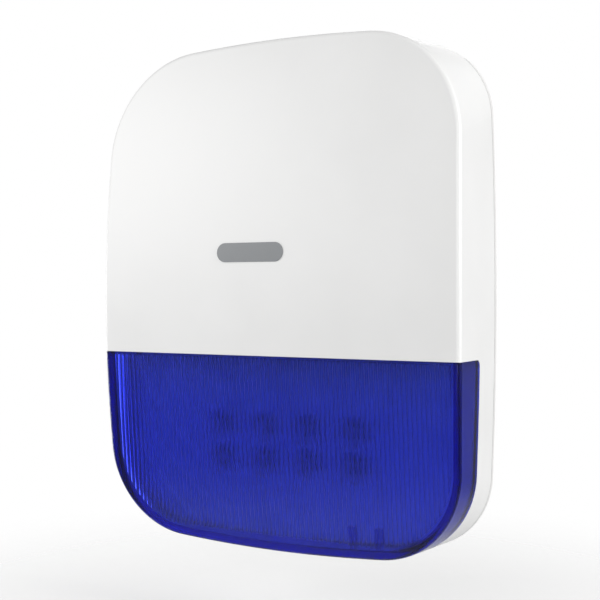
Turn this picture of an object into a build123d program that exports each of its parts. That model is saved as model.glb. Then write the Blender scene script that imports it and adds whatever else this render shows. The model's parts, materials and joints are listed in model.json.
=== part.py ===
from build123d import *
import os
from math import cos, hypot, pi, sin, sqrt

os.makedirs("parts", exist_ok=True)

# Wall-mounted outdoor alarm siren, in mm. X to the right, front towards -Y, Z up.
# The origin is the middle of the case, on the wall plane.

# Outline of the case: a rounded rectangle whose sides all bow outwards a little
WIDTH = 190.0
HEIGHT = 240.0
SIDE_BOW = 3.5
END_BOW = 6.4
CORNER_TOP = 50.0
CORNER_BOTTOM = 43.0
REAR_CORNER_TOP = 37.0
REAR_CORNER_BOTTOM = 36.0

# Depth of the case: height of its side wall at the corners and the bulge of its face
EDGE_DEPTH = 36.0
BULGE = 9.0
FACE_DEPTH = EDGE_DEPTH + BULGE
FACE_R = ((HEIGHT / 2) ** 2 + BULGE**2) / (2 * BULGE)
BEYOND = 60.0

# Cover and lens
WALL = 2.5
COVER_REAR = 2.4
FACE_EDGE_R = 2.0
LENS_TOP_Z = -28.3
LENS_REAR = 21.1
LENS_CORNER_R = 3.0
SEAM = 0.15
LIP_INSET = WALL + SEAM
LIP_DEPTH = 4.15
LIP_REACH = 4.0
FLUTE_PITCH = 2.24
FLUTE_COUNT = 80
FLUTE_RISE = 0.45
FLUTE_SKIN = 2.2
FLUTE_TOP_Z = -29.8
FLUTE_BOTTOM_Z = -113.0
FLUTE_MARGIN = 5.2
CLIP_X = (39.5, 52.5)
CLIP_GAP = 2.0
CLIP_T = 0.8
CLIP_REAR = 31.5
CLIP_TOP_Z = -104.0

# Base plate
PLATE = 2.0
PLATE_TOP_Z = 108.8
UPSTAND_INSET = 2.9
UPSTAND_WALL = 1.8
UPSTAND_FRONT = 8.0
UPSTAND_TOP_Z = 88.0
WALL_HOLE_X = 66.0
WALL_HOLE_Z = (-20.0, 72.0)
WALL_HOLE_R = 2.5
WALL_BOSS_R = 6.0
WALL_BOSS_FRONT = 4.0
CABLE_X = 40.0
CABLE_Z = -28.0
CABLE_HOLE_R = 7.0

# Hinge along the top edge of the case
HINGE_Y = -6.6
HINGE_Z = 113.9
HINGE_LUG_R = 2.4
HINGE_X = (-30.0, 30.0)
HINGE_LUG_W = 6.0
HINGE_EAR_W = 4.0
HINGE_FOOT_Z = 104.2
HINGE_EAR_GAP = 0.5
HINGE_PIN_R = 1.2
RUNNING = 0.05
HINGE_SWEEP_R = 6.2

# Lock screw in the bottom edge, clamping the slotted shelf of the cover
LOCK_Y = -12.0
LOCK_SHANK_R = 2.0
LOCK_HEAD_R = 4.0
LOCK_HEAD_Z = (-119.4, -116.8)
LOCK_WASHER_Z = (-116.8, -115.9)
LOCK_WASHER_R = 4.2
LOCK_TIP_Z = -101.0
LOCK_BOSS_Z = (-112.4, -98.0)
SHELF_Z = (-115.5, -113.0)
SHELF_HALF_W = 10.0
NOTCH_HALF_W = 4.8
SLOT_HALF_W = 2.6

# Sound outlet slots in the bottom skirt of the cover
SLOT_X = (-54.0, -46.0, -38.0, -30.0, -22.0, 22.0, 30.0, 38.0, 46.0, 54.0)
SLOT_W = 3.2
SLOT_Y = (-16.6, -8.6)

# Main circuit board
PCB_X = (-6.0, 74.0)
PCB_Z = (-10.0, 54.0)
PCB_REAR = 9.0
PCB_T = 1.6
PCB_FACE = PCB_REAR + PCB_T
PCB_HOLE_IN = 4.0
POST_R = 3.0
SCREW_HEAD_R = 2.4
SCREW_HEAD_H = 1.6
SCREW_R = 1.2
SCREW_L = 6.0

# Components on the main board: x and z limits, or centres, and heights
HEADERS = (((57, 65), (48, 53)), ((-3, 5), (34, 40)), ((54, 64), (-9, -4)))
HEADER_H = 6.0
HEADER_FLOOR = 1.2
PLUG_TOP = 8.0
PLUG_FACE = PCB_FACE + PLUG_TOP
RADIO_X = (44.0, 64.0)
RADIO_Z = (28.0, 48.0)
RADIO_T = 0.8
SHIELD_INSET = 2.0
SHIELD_H = 3.2
SHIELD_T = 0.4
ANTENNA_AT = (69.0, 14.0)
ANTENNA_R = 2.6
ANTENNA_L = 28.0
ANTENNA_PITCH = 2.0
ANTENNA_RISE = 4.2
ANTENNA_WIRE_R = 0.4
TERMINAL_X = (32.0, 46.0)
TERMINAL_Z = (-9.0, -1.0)
TERMINAL_H = 9.0
TERMINAL_WELLS = (35.5, 42.5)
TERMINAL_WELL_R = 2.3
CAPACITOR_CANS = ((18.0, 40.0, 5.0, 12.0), (30.0, 42.0, 4.0, 9.0))
INDUCTOR_AT = (18.0, 2.0)
INDUCTOR_R = 5.5
INDUCTOR_H = 8.0
INDUCTOR_FLANGE = 1.5
INDUCTOR_CORE_R = 4.2
CHIPS = (((26, 36), (16, 26), 1.6), ((44, 50), (14, 19), 1.4), ((52, 58), (4, 10), 1.4))
BUTTON_AT = (65.0, 3.0)
BUTTON_HALF_W = 3.0
BUTTON_BODY_H = 3.5
BUTTON_CAP_R = 1.75
BUTTON_CAP_TOP = 6.0
SWITCH_X = (6.0, 18.0)
SWITCH_Z = (47.0, 52.0)
SWITCH_H = 4.5
KNOB_X = (8.9, 11.9)
KNOB_Z = (48.5, 50.5)
KNOB_SEAT = 1.8
KNOB_TOP = 7.3
KNOB_GROOVES = (5.6, 6.4)

# Light board behind the lens
LIGHT_X = 52.0
LIGHT_Z = (-98.0, -46.0)
LIGHT_REAR = 10.0
LED_X = (-36.0, -12.0, 12.0, 36.0)
LED_Z = (-80.0, -64.0)
CUP_DEPTH = 9.0
CUP_R_IN = 3.6
CUP_R_OUT = 8.0
CUP_SEAT_GAP = 0.3
LINER_INSET = 5.2
LINER_T = 2.0
LINER_TOP_Z = -27.0

# Sounder
HORN_X = -42.0
HORN_Z = 22.0
HORN_R = 26.0
HORN_REAR = 6.0
HORN_FRONT = 25.0
HORN_WALL = 1.8
HORN_EAR_R = 4.5
HORN_EAR_ANGLES = (90.0, 210.0, 330.0)
DISC_R = 20.0
DISC_T = 0.5
DISC_REAR = HORN_REAR + 6.0
CERAMIC_R = 14.0
CERAMIC_T = 0.4

# Battery
CELL_R = 8.4
CELL_L = 33.0
CELL_PITCH = 18.0
CELL_COUNT = 4
CELL_Y = -13.2
CELL_Z = 82.0
CELL_END_ROOM = 3.0
NIPPLE_R = 3.2
NIPPLE_H = 1.4
TRAY_FRONT = 15.0
TRAY_WALL = 1.6

# Tamper switches
TAMPER_WALL_X = -34.0
TAMPER_WALL_Z = -28.0
TAMPER_COVER_X = 6.0
TAMPER_COVER_Z = 20.0
TAMPER_HALF_W = 5.0
TAMPER_COVER_TOP = PCB_FACE + 8.0
TAMPER_WALL_TOP = 17.0
TAMPER_WALL_WELL = 12.0
TAMPER_CAP_REAR = 24.0
TAMPER_CAP_FRONT = 25.7
PLUNGER_R = 2.0
PLUNGER_COLLAR_R = 3.4
PLUNGER_COLLAR_T = 1.2
PLUNGER_COLLAR_GAP = 0.4
SPRING_R = 2.7
SPRING_WIRE_R = 0.3

# Cable entry grommet, internal leads and badge
GROMMET_BORE_R = 4.0
GROMMET_FLANGE = 1.6
GROMMET_FRONT = 4.2
GROMMET_REAR = 0.2
LEAD_R = 0.55
BADGE_W = 36.0
BADGE_H = 9.0
BADGE_AT = (-9.0, 20.0)
BADGE_PROUD = 0.35


def block(x, y, z):
    """Box between two limits on each axis."""
    size = [abs(pair[1] - pair[0]) for pair in (x, y, z)]
    centre = [(pair[0] + pair[1]) / 2 for pair in (x, y, z)]
    return Pos(*centre) * Box(*size)


def rod_x(x, y, z, r):
    return Pos((x[0] + x[1]) / 2, y, z) * Cylinder(r, abs(x[1] - x[0]), rotation=(0, 90, 0))


def rod_y(x, y, z, r):
    return Pos(x, (y[0] + y[1]) / 2, z) * Cylinder(r, abs(y[1] - y[0]), rotation=(90, 0, 0))


def rod_z(x, y, z, r):
    return Pos(x, y, (z[0] + z[1]) / 2) * Cylinder(r, abs(z[1] - z[0]))


def toward(a, b, r):
    """Point on the circle of radius r about a, in the direction of b."""
    reach = hypot(b[0] - a[0], b[1] - a[1])
    return (a[0] + r * (b[0] - a[0]) / reach, a[1] + r * (b[1] - a[1]) / reach)


def corner_centre(side, side_r, end, end_r, corner_r):
    """Centre of the corner circle that touches the side and end arcs from inside."""
    a, b = side_r - corner_r, end_r - corner_r
    reach = hypot(end[0] - side[0], end[1] - side[1])
    along = (a * a - b * b + reach * reach) / (2 * reach)
    across = sqrt(a * a - along * along)
    ux, uz = (end[0] - side[0]) / reach, (end[1] - side[1]) / reach
    return (side[0] + along * ux - across * uz, side[1] + along * uz + across * ux)


def corner_points(inset, corner_r):
    """Right-hand upper corner of the outline: its side, middle and end points."""
    half_w, half_h = WIDTH / 2, HEIGHT / 2
    side_r = (half_h**2 + SIDE_BOW**2) / (2 * SIDE_BOW)
    end_r = (half_w**2 + END_BOW**2) / (2 * END_BOW)
    side = (half_w - side_r, 0.0)
    end = (0.0, half_h - end_r)
    centre = corner_centre(side, side_r, end, end_r, corner_r)
    on_side = toward(side, centre, side_r - inset)
    on_end = toward(end, centre, end_r - inset)
    chord = ((on_side[0] + on_end[0]) / 2, (on_side[1] + on_end[1]) / 2)
    return on_side, toward(centre, chord, corner_r - inset), on_end


def left(point):
    return (-point[0], point[1])


def low(point):
    return (point[0], -point[1])


def outline(inset, depth):
    """Case outline at a depth from the wall, inset by an exact offset; its corners tighten to the rear."""
    share = depth / EDGE_DEPTH
    side, mid, end = corner_points(inset, REAR_CORNER_TOP + share * (CORNER_TOP - REAR_CORNER_TOP))
    low_side, low_mid, low_end = corner_points(
        inset, REAR_CORNER_BOTTOM + share * (CORNER_BOTTOM - REAR_CORNER_BOTTOM)
    )
    half_w, half_h = WIDTH / 2 - inset, HEIGHT / 2 - inset
    low_side, low_mid, low_end = low(low_side), low(low_mid), low(low_end)
    arcs = [
        (end, mid, side),
        (side, (half_w, 0), low_side),
        (low_side, low_mid, low_end),
        (low_end, (0, -half_h), left(low_end)),
        (left(low_end), left(low_mid), left(low_side)),
        (left(low_side), (-half_w, 0), left(side)),
        (left(side), left(mid), left(end)),
        (left(end), (0, half_h), end),
    ]
    return make_face([ThreePointArc(*arc) for arc in arcs])


def prism(inset, rear, front):
    """Case shape between two depths, measured from the wall."""
    return loft([Plane.XZ.offset(depth) * outline(inset, depth) for depth in (rear, front)], ruled=True)


def domed_block(inset):
    """Everything behind the bulging face, itself set back by the inset."""
    top = HEIGHT / 2 + 15
    arc_r = FACE_R - inset
    arc_y = FACE_R - FACE_DEPTH
    edge_y = arc_y - sqrt(arc_r**2 - top**2)
    back = 8.0
    profile = make_face([
        ThreePointArc((edge_y, -top), (arc_y - arc_r, 0), (edge_y, top)),
        Line((edge_y, top), (back, top)),
        Line((back, top), (back, -top)),
        Line((back, -top), (edge_y, -top)),
    ])
    return extrude(Plane.YZ * profile, WIDTH, both=True)


def pillow(inset):
    """Solid case shape from the wall to the bulging face."""
    return prism(inset, 0, BEYOND) & domed_block(inset)


def rounded_case():
    """Outer case shape with the edge of its face rounded."""
    case = pillow(0)
    rim = case.edges().filter_by(lambda e: e.center().Y < -EDGE_DEPTH + 5)
    return fillet(rim, FACE_EDGE_R)


def lens_zone(grow):
    """Region of the case taken by the lens, grown on every side."""
    zone = block(
        (-WIDTH, WIDTH),
        (-LENS_REAR + grow, -BEYOND - 5),
        (-HEIGHT, LENS_TOP_Z + grow),
    )
    rear = -LENS_REAR + grow
    edge = zone.edges().filter_by(Axis.X).sort_by(
        lambda e: abs(e.center().Y - rear) + abs(e.center().Z - LENS_TOP_Z - grow)
    )[0]
    return fillet(edge, LENS_CORNER_R + grow)


def face_y(z):
    """Depth of the face on the centre line at a height."""
    return FACE_R - FACE_DEPTH - sqrt(FACE_R**2 - z**2)


def flute_cutter():
    """Hollow behind the lens face that leaves upright half-round ribs on it."""
    top = Vector(0, face_y(FLUTE_TOP_Z), FLUTE_TOP_Z)
    run = Vector(0, face_y(FLUTE_BOTTOM_Z), FLUTE_BOTTOM_Z) - top
    half = FLUTE_PITCH * FLUTE_COUNT / 2
    skin = -FLUTE_SKIN
    edges = []
    for i in range(FLUTE_COUNT):
        x = -half + i * FLUTE_PITCH
        crest = (x + FLUTE_PITCH / 2, skin - FLUTE_RISE)
        edges.append(ThreePointArc((x, skin), crest, (x + FLUTE_PITCH, skin)))
    deep = -2.5 * LIP_DEPTH
    edges += [
        Line((half, skin), (half, deep)),
        Line((half, deep), (-half, deep)),
        Line((-half, deep), (-half, skin)),
    ]
    plane = Plane(origin=top, x_dir=(1, 0, 0), z_dir=run)
    cutter = extrude(plane * make_face(edges), run.length, dir=run)
    return cutter & prism(FLUTE_MARGIN, 0, BEYOND)


def clip_ribs():
    """Pairs of short upright ribs inside the bottom edge of the lens."""
    ribs = []
    for x in CLIP_X:
        for side in (-1, 1):
            mid = x + side * CLIP_GAP / 2
            width = (mid - CLIP_T / 2, mid + CLIP_T / 2)
            rib = block(width, (-CLIP_REAR, -BEYOND), (-HEIGHT, CLIP_TOP_Z))
            ribs.append(rib & pillow(WALL / 2))
    return ribs


def strobe_lens(case):
    body = (case & lens_zone(0)) + (pillow(LIP_INSET) & lens_zone(LIP_REACH))
    gap = SHELF_HALF_W + 1
    body -= block((-gap, gap), (1, LOCK_Y - LOCK_HEAD_R - 3.5), (-HEIGHT, SHELF_Z[1] + 3))
    body -= pillow(LIP_DEPTH)
    body -= flute_cutter()
    for rib in clip_ribs():
        body += rib
    return body


def hinge_ears(x):
    """Pair of ears on the cover that straddle one lug of the base plate."""
    ears = []
    for side in (-1, 1):
        near = x + side * (HINGE_LUG_W / 2 + HINGE_EAR_GAP)
        far = near + side * HINGE_EAR_W
        ear = rod_x((near, far), HINGE_Y, HINGE_Z, HINGE_LUG_R)
        reach = (HINGE_Y - HINGE_LUG_R, HINGE_Y + HINGE_LUG_R)
        ear += block((near, far), reach, (HINGE_Z, HEIGHT / 2 - WALL / 2))
        ears.append(ear)
    return ears


def lock_shelf():
    """Slotted shelf at the bottom of the cover that the lock screw clamps."""
    front = LOCK_Y - LOCK_HEAD_R - 2.5
    rear = -COVER_REAR
    shelf = block((-SHELF_HALF_W, SHELF_HALF_W), (front, rear), SHELF_Z)
    shelf += block((-SHELF_HALF_W, SHELF_HALF_W), (front, front + 2), (-118.5, SHELF_Z[1]))
    for side in (-1, 1):
        outer, inner = side * SHELF_HALF_W, side * (NOTCH_HALF_W + 0.4)
        shelf += block((outer, inner), (front, rear), (-118.5, SHELF_Z[1]))
    return shelf


def lock_openings():
    """Notch for the screw head and the open slot for its shank."""
    notch = rod_z(0, LOCK_Y, (-HEIGHT, SHELF_Z[0]), NOTCH_HALF_W)
    notch += block((-NOTCH_HALF_W, NOTCH_HALF_W), (LOCK_Y, 0), (-HEIGHT / 2 - 2, SHELF_Z[0]))
    slot = rod_z(0, LOCK_Y, (SHELF_Z[0] - 1, SHELF_Z[1] + 1), SLOT_HALF_W)
    slot += block((-SLOT_HALF_W, SLOT_HALF_W), (LOCK_Y, 0), (SHELF_Z[0] - 1, SHELF_Z[1] + 1))
    return notch + slot


def sound_slot(x):
    return block((x - SLOT_W / 2, x + SLOT_W / 2), SLOT_Y, (-HEIGHT / 2 - 2, -HEIGHT / 2 + 12))


def hinge_relief():
    """Corner taken off the rear top edge so that it clears the wall as it swings."""
    span = (-WIDTH / 2, WIDTH / 2)
    corner = block(span, (HINGE_Y, 1), (HINGE_Z, HEIGHT / 2 + 2))
    return corner - rod_x(span, HINGE_Y, HINGE_Z, HINGE_SWEEP_R)


def front_cover(case):
    cover = case - pillow(WALL) - lens_zone(SEAM) - prism(-1, -1, COVER_REAR)
    for x in HINGE_X:
        for ear in hinge_ears(x):
            cover += ear
    cover += lock_shelf()
    cover += rod_y(TAMPER_COVER_X, (-26.0, -44.0), TAMPER_COVER_Z, 2.6)
    cover -= hinge_relief()
    cover -= lock_openings()
    for x in SLOT_X:
        cover -= sound_slot(x)
    for x in HINGE_X:
        cover -= rod_x((x - 8.5, x + 8.5), HINGE_Y, HINGE_Z, HINGE_PIN_R + RUNNING)
    return cover


def hinge_lug(x):
    """Lug that stands up from the base plate and holds one hinge pin."""
    width = (x - HINGE_LUG_W / 2, x + HINGE_LUG_W / 2)
    reach = (HINGE_Y - HINGE_LUG_R, HINGE_Y + HINGE_LUG_R)
    lug = block(width, (HINGE_Y - HINGE_LUG_R, -PLATE / 2), (HINGE_FOOT_Z, PLATE_TOP_Z))
    lug += block(width, reach, (PLATE_TOP_Z - 1, HINGE_Z))
    lug += rod_x(width, HINGE_Y, HINGE_Z, HINGE_LUG_R)
    return lug - rod_x(width, HINGE_Y, HINGE_Z, HINGE_PIN_R)


def corners(x, z, inset):
    """Four points set in from the corners of a rectangle."""
    return [
        (cx, cz)
        for cx in (x[0] + inset, x[1] - inset)
        for cz in (z[0] + inset, z[1] - inset)
    ]


def horn_ears():
    """Centres of the sounder's three fixing ears."""
    reach = HORN_R + HORN_EAR_R - 1.0
    return [
        (HORN_X + reach * cos(a * pi / 180), HORN_Z + reach * sin(a * pi / 180))
        for a in HORN_EAR_ANGLES
    ]


def post(x, z, front):
    """Moulded screw post on the base plate."""
    return rod_y(x, (-PLATE / 2, -front), z, POST_R)


def pilot(x, z, front):
    """Pilot hole in the end of a screw post."""
    return rod_y(x, (-front + SCREW_L - 1.0, -front - 0.1), z, SCREW_R)


def post_places():
    """Every screw post as its x, z and front depth."""
    places = [(x, z, PCB_REAR) for x, z in corners(PCB_X, PCB_Z, PCB_HOLE_IN)]
    places += [(x, z, LIGHT_REAR) for x, z in corners((-LIGHT_X, LIGHT_X), LIGHT_Z, 4)]
    places += [(x, z, HORN_REAR + 1) for x, z in horn_ears()]
    return places


def base_plate():
    plate = prism(0, 0, PLATE)
    ring = prism(UPSTAND_INSET, PLATE / 2, UPSTAND_FRONT)
    ring -= prism(UPSTAND_INSET + UPSTAND_WALL, 0, BEYOND)
    ring -= block((-WIDTH, WIDTH), (0, -BEYOND), (UPSTAND_TOP_Z, HEIGHT))
    gap = SHELF_HALF_W + 1
    ring -= block((-gap, gap), (-PLATE, -BEYOND), (-HEIGHT, -108))
    plate += ring
    plate -= block((-WIDTH, WIDTH), (1, -PLATE), (PLATE_TOP_Z, HEIGHT))
    for x in (-WALL_HOLE_X, WALL_HOLE_X):
        for z in WALL_HOLE_Z:
            plate += rod_y(x, (-PLATE / 2, -WALL_BOSS_FRONT), z, WALL_BOSS_R)
            plate -= rod_y(x, (1, -BEYOND), z, WALL_HOLE_R)
    for x, z, front in post_places():
        plate += post(x, z, front)
        plate -= pilot(x, z, front)
    for x in HINGE_X:
        plate += hinge_lug(x)
    plate += block((-6, 6), (-PLATE / 2, LOCK_Y - 4.5), LOCK_BOSS_Z)
    plate -= rod_z(0, LOCK_Y, (LOCK_BOSS_Z[0] - 1, LOCK_TIP_Z + 1.5), LOCK_SHANK_R + RUNNING)
    plate -= rod_y(CABLE_X, (1, -BEYOND), CABLE_Z, CABLE_HOLE_R)
    plate -= rod_y(TAMPER_WALL_X, (1, -BEYOND), TAMPER_WALL_Z, PLUNGER_R + RUNNING)
    return plate


def hinge_pins():
    return [rod_x((x - 7.2, x + 7.2), HINGE_Y, HINGE_Z, HINGE_PIN_R) for x in HINGE_X]


def cross_recess_cut(r, depth):
    """Cross-shaped driver recess, cut into a face at the origin looking along +Z."""
    arm = block((-r, r), (-r * 0.2, r * 0.2), (-depth, 1))
    return arm + arm.rotate(Axis.Z, 90)


def screw(head_r, head_h, shank_r, length):
    """Pan-head screw with its seat at the origin and its head along +Z."""
    head = Pos(0, 0, head_h / 2) * Cylinder(head_r, head_h)
    rim = head.edges().group_by(Axis.Z)[-1]
    head = fillet(rim, head_h * 0.45)
    shank = Pos(0, 0, -length / 2) * Cylinder(shank_r, length)
    recess = Pos(0, 0, head_h) * cross_recess_cut(head_r * 0.55, head_h * 0.6)
    return head + shank - recess


def face_screws(places, seat):
    """Small screws driven from the front at the given places."""
    plane_turn = Rot(90, 0, 0)
    one = screw(SCREW_HEAD_R, SCREW_HEAD_H, SCREW_R, SCREW_L)
    return [Pos(x, -seat, z) * plane_turn * one for x, z in places]


def lock_screw():
    head_h = LOCK_HEAD_Z[1] - LOCK_HEAD_Z[0]
    one = screw(LOCK_HEAD_R, head_h, LOCK_SHANK_R, LOCK_TIP_Z - LOCK_HEAD_Z[1])
    return Pos(0, LOCK_Y, LOCK_HEAD_Z[1]) * Rot(180, 0, 0) * one


def lock_washer():
    ring = rod_z(0, LOCK_Y, LOCK_WASHER_Z, LOCK_WASHER_R)
    return ring - rod_z(0, LOCK_Y, LOCK_WASHER_Z, LOCK_SHANK_R + RUNNING)


def board(x, z, rear, holes):
    """Flat circuit board with rounded corners and fixing holes."""
    plate = block(x, (-rear, -rear - PCB_T), z)
    plate = fillet(plate.edges().filter_by(Axis.Y), 2.0)
    for hx, hz in holes:
        plate -= rod_y(hx, (0, -BEYOND), hz, SCREW_R + 0.2)
    return plate


def on_board(x, z, height, rear=PCB_FACE):
    """Box-shaped component standing on a board face."""
    return block((x[0], x[1]), (-rear, -rear - height), (z[0], z[1]))


def narrowed(span, inset):
    return (span[0] + inset, span[1] - inset)


def shield_can():
    """Tin can over the radio, open towards its board."""
    seat = PCB_FACE + RADIO_T
    x, z = narrowed(RADIO_X, SHIELD_INSET), narrowed(RADIO_Z, SHIELD_INSET)
    can = on_board(x, z, SHIELD_H, seat)
    can = fillet(can.edges().filter_by(Axis.Y), 3 * SHIELD_T)
    return can - on_board(narrowed(x, SHIELD_T), narrowed(z, SHIELD_T), SHIELD_H - SHIELD_T, seat)


def coil(radius, pitch, height, wire):
    """Round-wire coil along +Z from the origin."""
    path = Helix(pitch=pitch, height=height, radius=radius)
    section = Plane(origin=path @ 0, z_dir=path % 0) * Circle(wire)
    return sweep(section, path=path)


def antenna():
    """Helical aerial on a wire foot."""
    x, z = ANTENNA_AT
    axis_y = -PCB_FACE - ANTENNA_RISE
    turns = Pos(x, axis_y, z) * coil(ANTENNA_R, ANTENNA_PITCH, ANTENNA_L, ANTENNA_WIRE_R)
    return turns + rod_y(x + ANTENNA_R, (-PCB_FACE, axis_y), z, ANTENNA_WIRE_R + 0.05)


def terminal_block_body():
    """Two-way terminal block: a screw well above each wire opening."""
    body = on_board(TERMINAL_X, TERMINAL_Z, TERMINAL_H)
    mid_z = (TERMINAL_Z[0] + TERMINAL_Z[1]) / 2
    for x in TERMINAL_WELLS:
        body -= rod_y(x, (-PCB_FACE - 4, -PCB_FACE - TERMINAL_H - 1), mid_z, TERMINAL_WELL_R)
        body -= block((x - 2, x + 2), (-PCB_FACE - 1, -PCB_FACE - 5), (TERMINAL_Z[0] - 1, mid_z - 1))
    return body


def terminal_screws():
    """Slotted clamp screws of the terminal block."""
    head_r = TERMINAL_WELL_R - 0.2
    height, slot_depth = 3.0, 0.8
    slot = Pos(0, 0, height / 2) * Box(3 * head_r, head_r / 3, 2 * slot_depth)
    one = Rot(90, 0, 0) * (Cylinder(head_r, height) - slot)
    mid_z = (TERMINAL_Z[0] + TERMINAL_Z[1]) / 2
    return [Pos(x, -PCB_FACE - TERMINAL_H + height, mid_z) * one for x in TERMINAL_WELLS]


def capacitors():
    cans = []
    for x, z, r, tall in CAPACITOR_CANS:
        can = rod_y(x, (-PCB_FACE, -PCB_FACE - tall), z, r)
        rim = can.edges().group_by(Axis.Y)[0]
        cans.append(fillet(rim, 0.6))
    return cans


def drum(radius, trim=0.0):
    """Round of the inductor, shortened at both ends."""
    x, z = INDUCTOR_AT
    return rod_y(x, (-PCB_FACE - trim, -PCB_FACE - INDUCTOR_H + trim), z, radius)


def inductor():
    """Drum core: a waist between two flanges."""
    groove = drum(INDUCTOR_R + 0.1, INDUCTOR_FLANGE) - drum(INDUCTOR_CORE_R)
    return drum(INDUCTOR_R) - groove


def inductor_winding():
    return drum(INDUCTOR_R - 0.3, INDUCTOR_FLANGE + 0.2) - drum(INDUCTOR_CORE_R + 0.1)


def chips():
    return [on_board(x, z, tall) for x, z, tall in CHIPS]


def headers():
    """Shrouded headers for the battery, sounder and light leads."""
    wall = 1.0
    shells = []
    for x, z in HEADERS:
        well = on_board(narrowed(x, wall), narrowed(z, wall), HEADER_H, PCB_FACE + HEADER_FLOOR)
        shells.append(on_board(x, z, HEADER_H) - well)
    return shells


def plugs():
    """Plugs of the internal leads, seated in their headers."""
    gap = 1.05
    seat = HEADER_FLOOR + 0.1
    return [
        on_board(narrowed(x, gap), narrowed(z, gap), PLUG_TOP - seat, PCB_FACE + seat)
        for x, z in HEADERS
    ]


def button_body():
    x, z = BUTTON_AT
    span = (-BUTTON_HALF_W, BUTTON_HALF_W)
    body = on_board([x + s for s in span], [z + s for s in span], BUTTON_BODY_H)
    return body - rod_y(x, (-PCB_FACE - 1.2, -PCB_FACE - BUTTON_BODY_H - 1), z, BUTTON_CAP_R + RUNNING)


def button_cap():
    x, z = BUTTON_AT
    cap = rod_y(x, (-PCB_FACE - 2.0, -PCB_FACE - BUTTON_CAP_TOP), z, BUTTON_CAP_R)
    return fillet(cap.edges().group_by(Axis.Y)[0], 0.4)


def power_switch_body():
    """Slide switch body with the slot that its knob runs in."""
    body = on_board(SWITCH_X, SWITCH_Z, SWITCH_H)
    slot_z = narrowed(KNOB_Z, -0.3)
    return body - on_board(narrowed(SWITCH_X, 2.5), slot_z, SWITCH_H, PCB_FACE + KNOB_SEAT - 0.3)


def power_switch_knob():
    """Knob of the slide switch, with two grip grooves across its lower edge."""
    knob = on_board(KNOB_X, KNOB_Z, KNOB_TOP - KNOB_SEAT, PCB_FACE + KNOB_SEAT)
    groove_z = (KNOB_Z[0] - 0.3, KNOB_Z[0] + 0.3)
    for rise in KNOB_GROOVES:
        knob -= on_board(KNOB_X, groove_z, 0.3, PCB_FACE + rise)
    return knob


def tamper_body(x, z, rear, front):
    """Square switch body with rounded corners."""
    half = TAMPER_HALF_W
    body = block((x - half, x + half), (-rear, -front), (z - half, z + half))
    return fillet(body.edges().filter_by(Axis.Y), 1.0)


def cover_tamper_body():
    x, z = TAMPER_COVER_X, TAMPER_COVER_Z
    body = tamper_body(x, z, PCB_FACE, TAMPER_COVER_TOP)
    return body - rod_y(x, (-PCB_FACE - 2, -TAMPER_COVER_TOP - 1), z, PLUNGER_R + RUNNING)


def cover_tamper_plunger():
    """Stem with a wide cap that the closed cover holds down."""
    x, z = TAMPER_COVER_X, TAMPER_COVER_Z
    stem = rod_y(x, (-PCB_FACE - 5, -TAMPER_CAP_FRONT), z, PLUNGER_R)
    cap = rod_y(x, (-TAMPER_CAP_REAR, -TAMPER_CAP_FRONT), z, PLUNGER_COLLAR_R)
    return fillet((stem + cap).edges().group_by(Axis.Y)[0], 0.5)


def spring_y(x, z, rear, front, turns):
    """Compression spring along Y between two depths."""
    span = front - rear - 2 * SPRING_WIRE_R
    body = coil(SPRING_R, span / turns, span, SPRING_WIRE_R)
    return Pos(x, -rear - SPRING_WIRE_R, z) * Rot(90, 0, 0) * body


def wall_tamper_body():
    """Switch body with a wide well for the spring and a bore for the plunger's tip."""
    x, z = TAMPER_WALL_X, TAMPER_WALL_Z
    body = tamper_body(x, z, PLATE, TAMPER_WALL_TOP)
    body -= rod_y(x, (-PLATE + 1, -TAMPER_WALL_WELL), z, PLUNGER_COLLAR_R + 0.4)
    return body - rod_y(x, (-TAMPER_WALL_WELL + 1, -TAMPER_WALL_TOP + 1.5), z, PLUNGER_R + RUNNING)


def wall_tamper_plunger():
    """Stem through the base plate to the wall, with a collar for its spring."""
    x, z = TAMPER_WALL_X, TAMPER_WALL_Z
    rear = PLATE + PLUNGER_COLLAR_GAP
    collar = rod_y(x, (-rear, -rear - PLUNGER_COLLAR_T), z, PLUNGER_COLLAR_R)
    return collar + rod_y(x, (0, -TAMPER_WALL_WELL - 1), z, PLUNGER_R)


def light_emitters():
    """Square light packages, each with a clear round dome."""
    seat = LIGHT_REAR + PCB_T
    half, tall, dome_r = 2.5, 1.2, 1.9
    leds = []
    for x in LED_X:
        for z in LED_Z:
            square = ((x - half, x + half), (z - half, z + half))
            dome = Pos(x, -seat - tall, z) * Sphere(dome_r)
            dome -= on_board(*square, 2 * dome_r, seat + tall - 0.1 - 2 * dome_r)
            leds.append(on_board(*square, tall, seat) + dome)
    return leds


def reflector():
    """Liner behind the whole lens, with a conical cup round each light."""
    rear = LIGHT_REAR + PCB_T + CUP_SEAT_GAP
    front = rear + CUP_DEPTH
    half = LIGHT_X - 1
    panel = block((-half, half), (-rear, -front), narrowed(LIGHT_Z, 9.0))
    panel = fillet(panel.edges().filter_by(Axis.Y), 6.0)
    sheet = prism(LINER_INSET, front - LINER_T, front)
    panel += sheet & block((-WIDTH, WIDTH), (0, -BEYOND), (-HEIGHT, LINER_TOP_Z))
    for x in LED_X:
        for z in LED_Z:
            cup = Cone(CUP_R_IN, CUP_R_OUT, CUP_DEPTH + 1, rotation=(90, 0, 0))
            panel -= Pos(x, -(rear + front) / 2, z) * cup
    return panel


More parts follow.
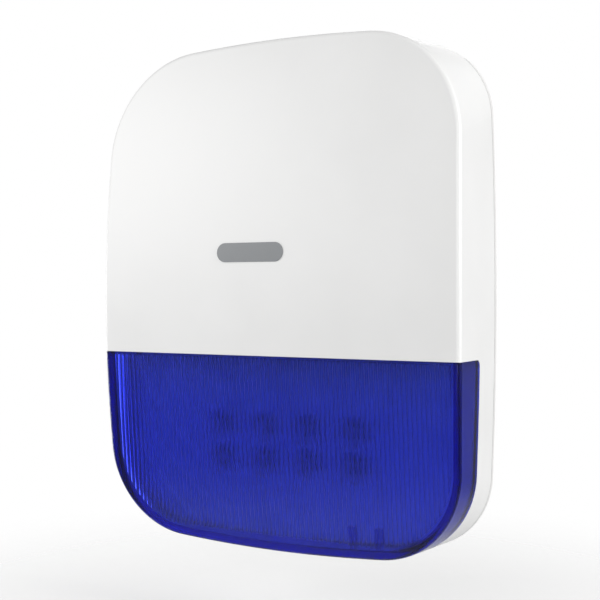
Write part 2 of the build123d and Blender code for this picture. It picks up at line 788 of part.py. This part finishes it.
def sounder_housing():
    """Round sounder cup with a horn throat in its face and three fixing ears."""
    body = rod_y(HORN_X, (-HORN_REAR, -HORN_FRONT), HORN_Z, HORN_R)
    body = fillet(body.edges().group_by(Axis.Y)[0], 2.0)
    for x, z in horn_ears():
        body += rod_y(x, (-HORN_REAR - 1, -HORN_REAR - 4), z, HORN_EAR_R)
    body -= rod_y(HORN_X, (-HORN_REAR + 1, -HORN_FRONT + 6), HORN_Z, HORN_R - HORN_WALL)
    throat = Cone(5.0, 17.0, 7.0, rotation=(90, 0, 0))
    body -= Pos(HORN_X, -HORN_FRONT + 3.0, HORN_Z) * throat
    for x, z in horn_ears():
        body -= rod_y(x, (0, -BEYOND), z, SCREW_R + 0.2)
    return body


def piezo_disc():
    return rod_y(HORN_X, (-DISC_REAR, -DISC_REAR - DISC_T), HORN_Z, DISC_R)


def piezo_ceramic():
    return rod_y(HORN_X, (-DISC_REAR + CERAMIC_T, -DISC_REAR), HORN_Z, CERAMIC_R)


def disc_holder():
    """Ring that clamps the rim of the disc inside the cup, closed by a rear cover."""
    fit_r = HORN_R - HORN_WALL - 0.1
    ring = rod_y(HORN_X, (-HORN_REAR - 0.5, -DISC_REAR), HORN_Z, fit_r)
    return ring - rod_y(HORN_X, (-HORN_REAR - 2.5, -DISC_REAR - 1), HORN_Z, DISC_R - 1.5)


def cell_places():
    start = -(CELL_COUNT - 1) / 2 * CELL_PITCH
    return [start + i * CELL_PITCH for i in range(CELL_COUNT)]


def battery_tray():
    """Open tray with one trough for each cell."""
    half = CELL_COUNT * CELL_PITCH / 2 + TRAY_WALL - 0.3
    well = (CELL_Z - CELL_L / 2 - CELL_END_ROOM, CELL_Z + CELL_L / 2 + CELL_END_ROOM)
    tray = block((-half, half), (-PLATE, -TRAY_FRONT), narrowed(well, -TRAY_WALL))
    tray = fillet(tray.edges().filter_by(Axis.Y), 1.5)
    trough_r = CELL_R + 0.25
    for x in cell_places():
        tray -= rod_z(x, CELL_Y, well, trough_r)
        tray -= block((x - trough_r, x + trough_r), (CELL_Y, -BEYOND), well)
    return tray


def battery_cells():
    cells = []
    for x in cell_places():
        can = rod_z(x, CELL_Y, (CELL_Z - CELL_L / 2, CELL_Z + CELL_L / 2), CELL_R)
        can = fillet(can.edges(), 0.8)
        cells.append(can + rod_z(x, CELL_Y, (CELL_Z, CELL_Z + CELL_L / 2 + NIPPLE_H), NIPPLE_R))
    return cells


def contact_plates():
    """Flat contact above the nipple of each cell."""
    foot = CELL_Z + CELL_L / 2 + NIPPLE_H + 0.2
    return [block((x - 5, x + 5), (CELL_Y + 4, CELL_Y - 5), (foot, foot + 0.5)) for x in cell_places()]


def contact_springs():
    """Short coils that press on the lower end of each cell."""
    foot = CELL_Z - CELL_L / 2 - CELL_END_ROOM + 0.4
    spring = coil(radius=4.0, pitch=1.0, height=2.0, wire=SPRING_WIRE_R)
    return [Pos(x, CELL_Y, foot) * spring for x in cell_places()]


def cable_grommet():
    """Rubber ring that lines the cable entry, with a flange inside the base plate."""
    seat = -PLATE - 0.01
    ring = rod_y(CABLE_X, (seat, -GROMMET_FRONT), CABLE_Z, CABLE_HOLE_R + GROMMET_FLANGE)
    ring += rod_y(CABLE_X, (-GROMMET_REAR, seat), CABLE_Z, CABLE_HOLE_R - 0.02)
    return ring - rod_y(CABLE_X, (1, -BEYOND), CABLE_Z, GROMMET_BORE_R)


def lead(points):
    """Insulated lead swept along a smooth path."""
    path = Spline(*points)
    section = Plane(origin=path @ 0, z_dir=path % 0) * Circle(LEAD_R)
    return sweep(section, path=path)


def battery_leads():
    start_z = CELL_Z - CELL_L / 2 - CELL_END_ROOM - TRAY_WALL
    return [
        lead([
            (30 + k, -11, start_z),
            (33 + k, -14, start_z - 3.5),
            (56 + k, -24, 54),
            (60 + k, -PLUG_FACE, 50.5),
        ])
        for k in (0, 2.0)
    ]


def sounder_leads():
    start_x = HORN_X + HORN_R
    return [
        lead([
            (start_x, -12 - k, HORN_Z),
            (start_x + 6, -14 - k, HORN_Z + 5),
            (-3 + k, -25, 37),
            (0.2 + k, -PLUG_FACE, 37),
        ])
        for k in (0, 1.6)
    ]


def light_leads():
    return [
        lead([
            (26 + k, -LIGHT_REAR - PCB_T, -50),
            (27 + k, -15.5, -46),
            (36 + k, -15.5, -33),
            (44 + k, -16, -23),
            (56 + k, -22.5, -11),
            (57 + k, -PLUG_FACE, -6.5),
        ])
        for k in (0, 1.8, 3.6)
    ]


def blank_badge():
    """Plain oval inlay on the face, without any mark."""
    oval = Plane.XZ.offset(EDGE_DEPTH - 5) * Pos(*BADGE_AT) * SlotOverall(BADGE_W, BADGE_H)
    stamp = extrude(oval, BEYOND - EDGE_DEPTH, dir=(0, -1, 0))
    return stamp & (pillow(-BADGE_PROUD) - pillow(0))


def save(node, shape):
    """Write one node, as a group when it holds separate identical pieces."""
    if isinstance(shape, list):
        shape = Compound(children=shape)
    export_step(shape, f"parts/{node}.step")


case_shape = rounded_case()
pcb_holes = corners(PCB_X, PCB_Z, PCB_HOLE_IN)
light_holes = corners((-LIGHT_X, LIGHT_X), LIGHT_Z, 4)
horn_screw_seat = HORN_REAR + 4

save("base_plate", base_plate())
save("front_cover", front_cover(case_shape))
save("strobe_lens", strobe_lens(case_shape))
save("blank_badge", blank_badge())
save("hinge_pins", hinge_pins())
save("lock_screw", lock_screw())
save("lock_washer", lock_washer())
save("main_pcb", board(PCB_X, PCB_Z, PCB_REAR, pcb_holes))
save("pcb_screws", face_screws(pcb_holes, PCB_FACE))
save("radio_board", on_board(RADIO_X, RADIO_Z, RADIO_T))
save("radio_shield", shield_can())
save("antenna_coil", antenna())
save("terminal_block", terminal_block_body())
save("terminal_screws", terminal_screws())
save("capacitors", capacitors())
save("inductor_core", inductor())
save("inductor_winding", inductor_winding())
save("chip_packages", chips())
save("lead_headers", headers())
save("lead_plugs", plugs())
save("learn_button_body", button_body())
save("learn_button_cap", button_cap())
save("power_switch_body", power_switch_body())
save("power_switch_knob", power_switch_knob())
save("cover_tamper_body", cover_tamper_body())
save("cover_tamper_plunger", cover_tamper_plunger())
save("cover_tamper_spring", spring_y(TAMPER_COVER_X, TAMPER_COVER_Z, TAMPER_COVER_TOP, TAMPER_CAP_REAR, 4))
save("wall_tamper_body", wall_tamper_body())
save("wall_tamper_plunger", wall_tamper_plunger())
save("wall_tamper_spring", spring_y(TAMPER_WALL_X, TAMPER_WALL_Z, PLATE + 1.6, TAMPER_WALL_WELL, 5))
save("light_board", board((-LIGHT_X, LIGHT_X), LIGHT_Z, LIGHT_REAR, light_holes))
save("light_board_screws", face_screws(light_holes, LIGHT_REAR + PCB_T))
save("light_emitters", light_emitters())
save("light_reflector", reflector())
save("sounder_housing", sounder_housing())
save("sounder_disc_holder", disc_holder())
save("piezo_disc", piezo_disc())
save("piezo_ceramic", piezo_ceramic())
save("sounder_screws", face_screws(horn_ears(), horn_screw_seat))
save("battery_tray", battery_tray())
save("battery_cells", battery_cells())
save("battery_contacts", contact_plates())
save("battery_springs", contact_springs())
save("cable_grommet", cable_grommet())
save("battery_leads", battery_leads())
save("sounder_leads", sounder_leads())
save("light_leads", light_leads())
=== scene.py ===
"""Looks, light and camera for the wall-mounted alarm siren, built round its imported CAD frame."""
import json
from math import cos, radians, sin

import bpy
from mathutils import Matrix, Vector


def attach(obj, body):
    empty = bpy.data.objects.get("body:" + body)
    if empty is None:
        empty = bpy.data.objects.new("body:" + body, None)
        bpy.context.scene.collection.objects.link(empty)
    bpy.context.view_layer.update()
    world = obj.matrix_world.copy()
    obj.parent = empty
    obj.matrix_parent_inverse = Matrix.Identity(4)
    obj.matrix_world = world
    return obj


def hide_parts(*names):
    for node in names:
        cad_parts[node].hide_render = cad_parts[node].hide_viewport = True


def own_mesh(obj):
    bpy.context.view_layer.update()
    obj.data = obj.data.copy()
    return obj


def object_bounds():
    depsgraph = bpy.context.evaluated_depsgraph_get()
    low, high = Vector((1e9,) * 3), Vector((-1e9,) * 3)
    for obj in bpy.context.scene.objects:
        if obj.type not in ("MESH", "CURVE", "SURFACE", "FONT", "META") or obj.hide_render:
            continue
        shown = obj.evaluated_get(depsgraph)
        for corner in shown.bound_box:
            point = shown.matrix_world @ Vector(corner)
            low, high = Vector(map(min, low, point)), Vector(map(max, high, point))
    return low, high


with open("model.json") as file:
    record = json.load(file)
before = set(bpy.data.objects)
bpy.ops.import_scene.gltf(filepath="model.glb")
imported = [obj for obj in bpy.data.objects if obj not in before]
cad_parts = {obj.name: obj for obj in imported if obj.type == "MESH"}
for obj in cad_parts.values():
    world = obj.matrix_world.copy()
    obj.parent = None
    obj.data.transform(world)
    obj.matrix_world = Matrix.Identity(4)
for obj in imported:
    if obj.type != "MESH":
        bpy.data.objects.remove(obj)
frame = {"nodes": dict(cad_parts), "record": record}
cad_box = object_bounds()
nodes = frame["nodes"]

# Camera: its angles and distance round the point AIM, its lens and sensor in millimetres, and how far
# its picture is shifted, in widths of the picture
AZIMUTH = radians(29.66)
ELEVATION = radians(0.166)
DISTANCE = 0.5357
AIM = Vector((0.0, -0.018, 0.0))
FOCAL_LENGTH = 66.708
SENSOR_WIDTH = 36.0
SHIFT = (0.00845, -0.00823333)
CLIP_START = 0.01

# Stage: a square floor below the case, which fades out between two distances from the frame's origin
FLOOR_DROP = 0.04
FLOOR_HALF = 1.2
FADE_START = 0.08
FADE_END = 0.36

# Light of the room on the siren, and of the backdrop that the camera sees
ROOM_STRENGTH = 0.24
BACKDROP_STRENGTH = 1.0
WHITE = (1.0, 1.0, 1.0, 1.0)

# Edges of the CAD pieces sharper than this stay sharp
SHARP_ANGLE = radians(35)

# The values that most of a noise texture lies between, and how deep the grain is, in metres
NOISE_SPAN = (0.3, 0.7)
FINE_DEPTH = 0.00001
MATTE_DEPTH = 0.00003

# The net of lines on the circuit board: cells per metre, how far a line shades off in cells, and its depth
TRACK_SCALE = 420
TRACK_SPAN = (0.05, 0.12)
TRACK_DEPTH = 0.00002

# The colour that the lens lets through, and how strongly it takes the rest, per metre
LENS_COLOUR = (0.0, 0.09, 0.97, 1.0)
LENS_DENSITY = 210.0


class Shader:
    """A node material being put together, with its Principled shader."""

    def __init__(self, name):
        self.material = bpy.data.materials.new(name)
        self.material.use_nodes = True
        self.tree = self.material.node_tree
        self.tree.nodes.clear()
        self.output = self.add("ShaderNodeOutputMaterial")
        self.surface = self.add("ShaderNodeBsdfPrincipled")
        self.join(self.surface, "BSDF", self.output, "Surface")
        self.coords = self.add("ShaderNodeTexCoord")

    def add(self, kind, **values):
        """Adds a node, with values for its properties or its sockets."""
        node = self.tree.nodes.new(kind)
        for key, value in values.items():
            if hasattr(node, key):
                setattr(node, key, value)
            else:
                node.inputs[key.replace("_", " ").title()].default_value = value
        return node

    def join(self, source, output, target, socket):
        self.tree.links.new(source.outputs[output], target.inputs[socket])

    def set(self, **values):
        """Sets sockets of the Principled shader to constants."""
        for key, value in values.items():
            name = key.replace("_", " ").title().replace("Ior", "IOR")
            self.surface.inputs[name].default_value = value

    def noise(self, scale, detail, stretch=(1, 1, 1)):
        """Noise through the piece, with its scale per metre."""
        mapping = self.add("ShaderNodeMapping", scale=stretch)
        self.join(self.coords, "Object", mapping, "Vector")
        texture = self.add("ShaderNodeTexNoise", scale=scale, detail=detail)
        self.join(mapping, "Vector", texture, "Vector")
        return texture

    def roughen(self, texture, low, high):
        """Lets a noise texture vary the roughness between two values."""
        start, end = NOISE_SPAN
        span = self.add("ShaderNodeMapRange", from_min=start, from_max=end, to_min=low, to_max=high)
        self.join(texture, "Fac", span, "Value")
        self.join(span, "Result", self.surface, "Roughness")

    def tint(self, texture, dark, light, output="Fac", span=NOISE_SPAN):
        """Colours the surface between two tones, over a span of one texture's values."""
        ramp = self.add("ShaderNodeValToRGB")
        for stop, position, tone in zip(ramp.color_ramp.elements, span, (dark, light)):
            stop.position = position
            stop.color = (*tone, 1)
        self.join(texture, output, ramp, "Fac")
        self.join(ramp, "Color", self.surface, "Base Color")

    def bump(self, texture, strength, distance, output="Fac"):
        """Raises the surface by a texture, up to a distance in metres."""
        node = self.add("ShaderNodeBump", strength=strength, distance=distance)
        self.join(texture, output, node, "Height")
        self.join(node, "Normal", self.surface, "Normal")


def plastic(name, dark, light, rough=(0.3, 0.4), grain=9000, coat=0.0):
    """Moulded plastic: faint tone drift and a fine spark-eroded grain."""
    shader = Shader(name)
    drift = shader.noise(scale=22, detail=4)
    shader.tint(drift, dark, light)
    shader.roughen(drift, *rough)
    shader.bump(shader.noise(scale=grain, detail=2), strength=0.25, distance=FINE_DEPTH)
    shader.set(coat_weight=coat, coat_roughness=0.15)
    return shader.material


def metal(name, dark, light, stretch=(1, 1, 12)):
    """Bare or plated metal, with marks squeezed along z into fine lines unless stretch is even."""
    shader = Shader(name)
    lines = shader.noise(scale=900, detail=4, stretch=stretch)
    shader.tint(lines, dark, light)
    shader.roughen(lines, 0.22, 0.38)
    shader.bump(lines, strength=0.2, distance=FINE_DEPTH)
    shader.set(metallic=1.0)
    return shader.material


def matte(name, dark, light):
    """Dull material with a soft grain: rubber, ferrite, moulded epoxy or ceramic."""
    shader = Shader(name)
    fine = shader.noise(scale=3000, detail=4)
    shader.tint(fine, dark, light)
    shader.roughen(fine, 0.6, 0.8)
    shader.bump(fine, strength=0.4, distance=MATTE_DEPTH)
    return shader.material


def circuit_board():
    """Green solder resist, darker along a faint net of lines about 2.4 mm apart."""
    shader = Shader("solder_resist")
    tracks = shader.add(
        "ShaderNodeTexVoronoi", distance="CHEBYCHEV", feature="DISTANCE_TO_EDGE", scale=TRACK_SCALE)
    shader.join(shader.coords, "Object", tracks, "Vector")
    shader.tint(tracks, (0.012, 0.11, 0.045), (0.02, 0.19, 0.08), output="Distance", span=TRACK_SPAN)
    shader.bump(tracks, strength=0.15, distance=TRACK_DEPTH, output="Distance")
    shader.set(roughness=0.28, coat_weight=0.4)
    return shader.material


def lens_plastic():
    """Clear deep-blue polycarbonate, a little hazy from its texture."""
    shader = Shader("lens_blue")
    haze = shader.noise(scale=60, detail=3)
    shader.tint(haze, (0.37, 0.47, 0.88), (0.40, 0.50, 0.91))
    shader.roughen(haze, 0.15, 0.20)
    shader.set(transmission_weight=1.0, ior=1.45, specular_ior_level=0.0)
    body = shader.add("ShaderNodeVolumeAbsorption", density=LENS_DENSITY)
    body.inputs["Color"].default_value = LENS_COLOUR
    shader.join(body, "Volume", shader.output, "Volume")
    return shader.material


def epoxy():
    """Milky clear resin of the light-emitting diodes."""
    shader = Shader("led_epoxy")
    cloud = shader.noise(scale=500, detail=2)
    shader.tint(cloud, (0.80, 0.84, 0.92), (0.90, 0.92, 0.96))
    shader.roughen(cloud, 0.05, 0.12)
    shader.set(transmission_weight=0.25, ior=1.5)
    return shader.material


def make_materials():
    """Makes one finish for each material slot of the record."""
    return {
        "case_white": plastic(
            "case_white", (0.80, 0.80, 0.795), (0.83, 0.83, 0.825), rough=(0.34, 0.42), grain=5000),
        "lens_blue": lens_plastic(),
        "base_white": plastic("base_white", (0.72, 0.72, 0.71), (0.77, 0.77, 0.76), rough=(0.45, 0.55)),
        "badge_grey": plastic("badge_grey", (0.20, 0.21, 0.22), (0.24, 0.25, 0.26)),
        "steel": metal("plated_steel", (0.45, 0.45, 0.43), (0.62, 0.62, 0.60)),
        "stainless": metal("stainless", (0.50, 0.50, 0.50), (0.66, 0.66, 0.66)),
        "nylon": plastic("nylon", (0.66, 0.65, 0.60), (0.74, 0.73, 0.68), rough=(0.4, 0.5)),
        "board_green": circuit_board(),
        "shield_tin": metal("tin_plate", (0.55, 0.56, 0.57), (0.72, 0.73, 0.74), stretch=(1, 1, 1)),
        "copper": metal("enamelled_copper", (0.55, 0.20, 0.08), (0.72, 0.30, 0.13)),
        "gold_brass": metal("brass_disc", (0.62, 0.42, 0.14), (0.78, 0.56, 0.24)),
        "black_plastic": plastic("black_plastic", (0.012, 0.012, 0.013), (0.022, 0.022, 0.024)),
        "blue_plastic": plastic("terminal_blue", (0.02, 0.09, 0.30), (0.03, 0.12, 0.38)),
        "can_black": plastic("can_sleeve", (0.012, 0.012, 0.03), (0.02, 0.02, 0.045), coat=0.5),
        "ferrite": matte("ferrite", (0.020, 0.020, 0.021), (0.045, 0.045, 0.047)),
        "chip_black": matte("chip_epoxy", (0.012, 0.012, 0.012), (0.025, 0.025, 0.025)),
        "header_white": plastic("header_nylon", (0.68, 0.66, 0.56), (0.76, 0.74, 0.64)),
        "button_black": plastic("button_black", (0.010, 0.010, 0.010), (0.018, 0.018, 0.018), coat=0.4),
        "led_clear": epoxy(),
        "reflector_grey": plastic("reflector", (0.78, 0.79, 0.81), (0.84, 0.85, 0.87), rough=(0.25, 0.35)),
        "ceramic_white": matte("silvered_ceramic", (0.60, 0.58, 0.53), (0.70, 0.68, 0.62)),
        "cell_sleeve": plastic("cell_sleeve", (0.03, 0.05, 0.07), (0.045, 0.07, 0.10), coat=0.6),
        "rubber_black": matte("rubber_black", (0.012, 0.012, 0.012), (0.03, 0.03, 0.03)),
        "lead_red": plastic("lead_red", (0.36, 0.012, 0.010), (0.45, 0.02, 0.015), coat=0.3),
    }


def dress_nodes():
    """Gives each CAD node the finish of its material slot."""
    made = make_materials()
    for part in frame["record"]["subparts"]:
        piece = nodes[part["node"]]
        piece.data.materials.clear()
        piece.data.materials.append(made[part["material_slot"]])


def soften(name):
    """Smooth shading with the real edges kept sharp."""
    mesh = nodes[name].data
    for polygon in mesh.polygons:
        polygon.use_smooth = True
    mesh.set_sharp_from_angle(angle=SHARP_ANGLE)


def make_coil(node):
    """Coil spring in place of its CAD node: a copy of the node's mesh, hung on the base.
    """
    coil = bpy.data.objects.new(node.replace("spring", "coil"), nodes[node].data.copy())
    bpy.context.scene.collection.objects.link(coil)
    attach(coil, "base")
    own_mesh(coil)
    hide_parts(node)


def floor_material():
    """Pale paint, strongest below the siren and clear beyond FADE_END."""
    shader = Shader("pale_floor")
    shader.tint(shader.noise(scale=3, detail=2), (0.93, 0.93, 0.93), (0.95, 0.95, 0.95))
    shader.set(roughness=0.9)
    reach = shader.add("ShaderNodeVectorMath", operation="LENGTH")
    shader.join(shader.coords, "Object", reach, 0)
    fade = shader.add(
        "ShaderNodeMapRange", interpolation_type="SMOOTHSTEP",
        from_min=FADE_START, from_max=FADE_END, to_min=1.0, to_max=0.0)
    shader.join(reach, "Value", fade, "Value")
    shader.join(fade, "Result", shader.surface, "Alpha")
    return shader.material


def make_stage():
    """Pale floor below the siren, which hangs free of it."""
    floor_z = cad_box[0].z - FLOOR_DROP
    signs = [(-1, -1), (1, -1), (1, 1), (-1, 1)]
    mesh = bpy.data.meshes.new("floor")
    mesh.from_pydata([(x * FLOOR_HALF, y * FLOOR_HALF, floor_z) for x, y in signs], [], [(0, 1, 2, 3)])
    mesh.materials.append(floor_material())
    floor = bpy.data.objects.new("floor", mesh)
    bpy.context.scene.collection.objects.link(floor)


def area_light(name, place, target, side, power):
    """Square soft box, in metres and watts, which the camera doesn't see."""
    data = bpy.data.lights.new(name, "AREA")
    data.size = side
    data.energy = power
    lamp = bpy.data.objects.new(name, data)
    lamp.location = place
    lamp.rotation_euler = (Vector(target) - Vector(place)).to_track_quat("-Z", "Y").to_euler()
    lamp.visible_camera = False
    bpy.context.scene.collection.objects.link(lamp)


def make_lights():
    """Soft boxes to the right, in front, to the left, low on the left and behind."""
    area_light("side", place=(1.3, 0.0, 0.35), target=(0.09, -0.02, 0.03), side=0.8, power=15.5)
    area_light("fill", place=(0.35, -1.4, 0.3), target=(0, -0.04, 0), side=1.0, power=8.8)
    area_light("left", place=(-0.45, -0.5, 0.2), target=(-0.08, -0.04, 0.02), side=0.35, power=1.8)
    area_light("rim", place=(-1.0, -0.1, -0.1), target=(-0.09, -0.02, -0.07), side=0.5, power=3.0)
    area_light("back", place=(-0.3, 1.3, 0.3), target=(0, 0, 0), side=1.0, power=9.0)


def make_world():
    """A dim room round the siren, with a backdrop that looks white."""
    world = bpy.data.worlds.new("studio")
    world.use_nodes = True
    tree = world.node_tree
    room = tree.nodes["Background"]
    backdrop = tree.nodes.new("ShaderNodeBackground")
    for background, strength in ((room, ROOM_STRENGTH), (backdrop, BACKDROP_STRENGTH)):
        background.inputs["Color"].default_value = WHITE
        background.inputs["Strength"].default_value = strength
    seen = tree.nodes.new("ShaderNodeLightPath")
    mix = tree.nodes.new("ShaderNodeMixShader")
    tree.links.new(seen.outputs["Is Camera Ray"], mix.inputs["Fac"])
    tree.links.new(room.outputs["Background"], mix.inputs[1])
    tree.links.new(backdrop.outputs["Background"], mix.inputs[2])
    tree.links.new(mix.outputs["Shader"], tree.nodes["World Output"].inputs["Surface"])
    bpy.context.scene.world = world


def make_camera():
    """Camera at the photograph's viewing angle."""
    data = bpy.data.cameras.new("camera")
    data.sensor_width = SENSOR_WIDTH
    data.lens = FOCAL_LENGTH
    data.shift_x, data.shift_y = SHIFT
    data.clip_start = CLIP_START
    camera = bpy.data.objects.new("camera", data)
    flat = DISTANCE * cos(ELEVATION)
    offset = Vector((flat * sin(AZIMUTH), -flat * cos(AZIMUTH), DISTANCE * sin(ELEVATION)))
    camera.location = AIM + offset
    camera.rotation_euler = (-offset).to_track_quat("-Z", "Y").to_euler()
    bpy.context.scene.collection.objects.link(camera)
    bpy.context.scene.camera = camera


dress_nodes()
for node_name in nodes:
    soften(node_name)
make_coil("cover_tamper_spring")
make_coil("wall_tamper_spring")
make_stage()
make_lights()
make_world()
make_camera()
bpy.context.scene.view_settings.view_transform = "Standard"
